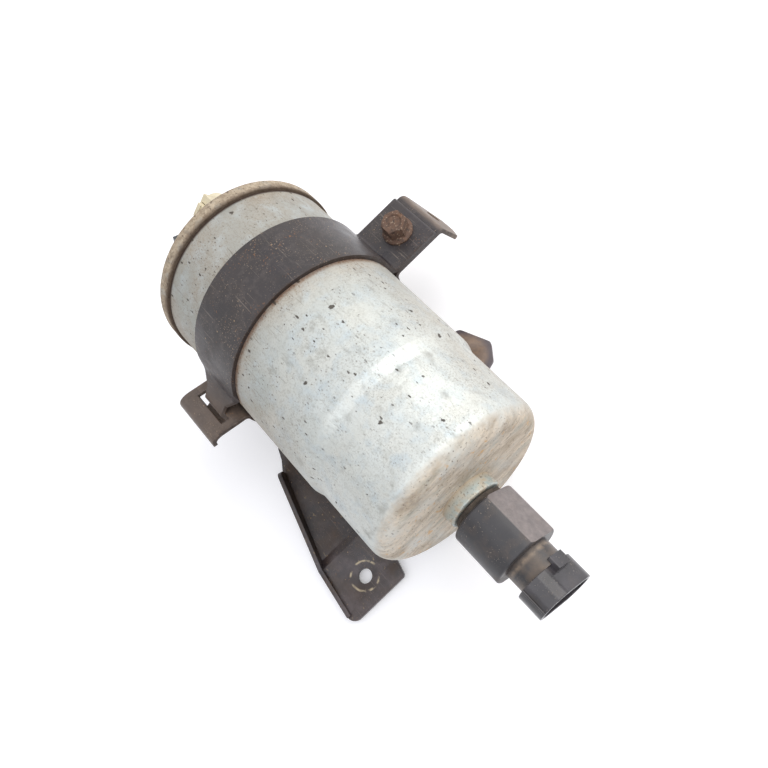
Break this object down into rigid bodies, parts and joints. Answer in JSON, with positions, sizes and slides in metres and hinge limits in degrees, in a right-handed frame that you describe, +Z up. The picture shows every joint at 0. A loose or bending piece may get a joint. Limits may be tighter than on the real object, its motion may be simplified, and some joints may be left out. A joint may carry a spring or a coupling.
{
  "type": "fuel filter",
  "caption": "Round zinc-plated fuel filter can held by a strap in a black pressed-steel mounting bracket, with a screwed-in water sensor at its closed end.",
  "frame": {"origin": "on the base plate's underside, straight below the middle of the clamp and of the can", "axes": "+X along the can from its fuel ports to its water sensor; +Y towards the bolted side of the clamp; +Z up from the base plate to the can"},
  "size_m": [0.2179, 0.1586, 0.0919],
  "materials": {
    "can_steel": "zinc-plated steel, dull, scratched and grimy",
    "rim_steel": "rolled zinc-plated steel with tan grime",
    "gasket_rubber": "matt black sealing rubber",
    "tube_steel": "zinc-plated steel tube",
    "cream_plastic": "moulded cream nylon, dusty",
    "dark_plastic": "moulded dark grey nylon",
    "blue_plastic": "moulded light blue nylon",
    "filter_paper": "resin-treated pleated paper",
    "cap_steel": "pressed steel",
    "spring_steel": "drawn spring wire",
    "collar_zinc": "zinc-plated, bluish",
    "sensor_plastic": "moulded dark grey plastic, dusty",
    "shroud_plastic": "moulded dark grey plastic, handled smooth",
    "terminal_brass": "stamped and tinned brass",
    "board": "glass-fibre circuit board",
    "reed_glass": "sealed glass",
    "float_foam": "fuel-proof nitrile foam",
    "magnet": "sintered ferrite",
    "black_steel": "black dipped paint on pressed steel, satin, dusty",
    "rusty_steel": "rusted steel"
  },
  "bodies": {
    "bracket_and_can": {"can_shell": "can_steel", "rolled_rim": "rim_steel", "cover_plate": "rim_steel", "cover_gasket": "gasket_rubber", "inlet_spigot": "tube_steel", "outlet_spigot": "tube_steel", "filter_paper": "filter_paper", "top_end_cap": "cap_steel", "bottom_end_cap": "cap_steel", "centre_tube": "cap_steel", "element_seal": "gasket_rubber", "outlet_duct": "cap_steel", "element_spring": "spring_steel", "sensor_collar": "collar_zinc", "clamp_strap": "black_steel", "saddle": "black_steel", "weld_nut": "rusty_steel", "base_plate": "black_steel"},
    "bolt": {"flange_bolt": "rusty_steel"},
    "sensor_travel": {"sensor_seal": "gasket_rubber"},
    "sensor": {"sensor_stem": "sensor_plastic", "reed_switch": "reed_glass", "float_stop": "dark_plastic", "sensor_barrel": "sensor_plastic", "connector_shroud": "shroud_plastic", "terminal_power": "terminal_brass", "terminal_signal": "terminal_brass", "terminal_ground": "terminal_brass", "circuit_board": "board"},
    "water_float": {"water_float": "float_foam", "float_magnet": "magnet"},
    "inlet_coupling": {"inlet_connector": "cream_plastic", "inlet_connector_seal": "gasket_rubber"},
    "inlet_button": {"inlet_release_button": "cream_plastic"},
    "outlet_coupling": {"outlet_connector": "dark_plastic", "outlet_connector_seal": "gasket_rubber"},
    "outlet_button": {"outlet_release_button": "blue_plastic"}
  },
  "joints": [
    {"name": "bolt_turn", "type": "hinge", "parent": "bracket_and_can", "child": "bolt", "pos_m": [0, 0.0585, 0.0496], "axis": [0, 0, 1], "continuous": true},
    {"name": "sensor_unscrew_travel", "type": "slide", "parent": "bracket_and_can", "child": "sensor_travel", "axis": [1, 0, 0], "range_m": [0, 0.003]},
    {"name": "sensor_unscrew", "type": "hinge", "parent": "sensor_travel", "child": "sensor", "pos_m": [0.1181, 0, 0.0471], "axis": [1, 0, 0], "range_deg": [0, 720]},
    {"name": "float_rise", "type": "slide", "parent": "sensor", "child": "water_float", "axis": [-1, 0, 0], "range_m": [0, 0.009]},
    {"name": "inlet_swivel", "type": "hinge", "parent": "bracket_and_can", "child": "inlet_coupling", "pos_m": [-0.0401, 0.0078, 0.0735], "axis": [1, 0, 0], "range_deg": [-30, 0]},
    {"name": "inlet_button_press", "type": "slide", "parent": "inlet_coupling", "child": "inlet_button", "axis": [0, 0.454, -0.891], "range_m": [0, 0.0015], "stiffness_N_per_m": 2500},
    {"name": "outlet_swivel", "type": "hinge", "parent": "bracket_and_can", "child": "outlet_coupling", "pos_m": [-0.0401, -0.0125, 0.0691], "axis": [1, 0, 0], "range_deg": [0, 30]},
    {"name": "outlet_button_press", "type": "slide", "parent": "outlet_coupling", "child": "outlet_button", "axis": [0, -0.4384, -0.8988], "range_m": [0, 0.0015], "stiffness_N_per_m": 2500}
  ],
  "couplings": [
    {"joint": "sensor_unscrew", "follows": "sensor_unscrew_travel", "rad_per_m": 4188.7}
  ]
}
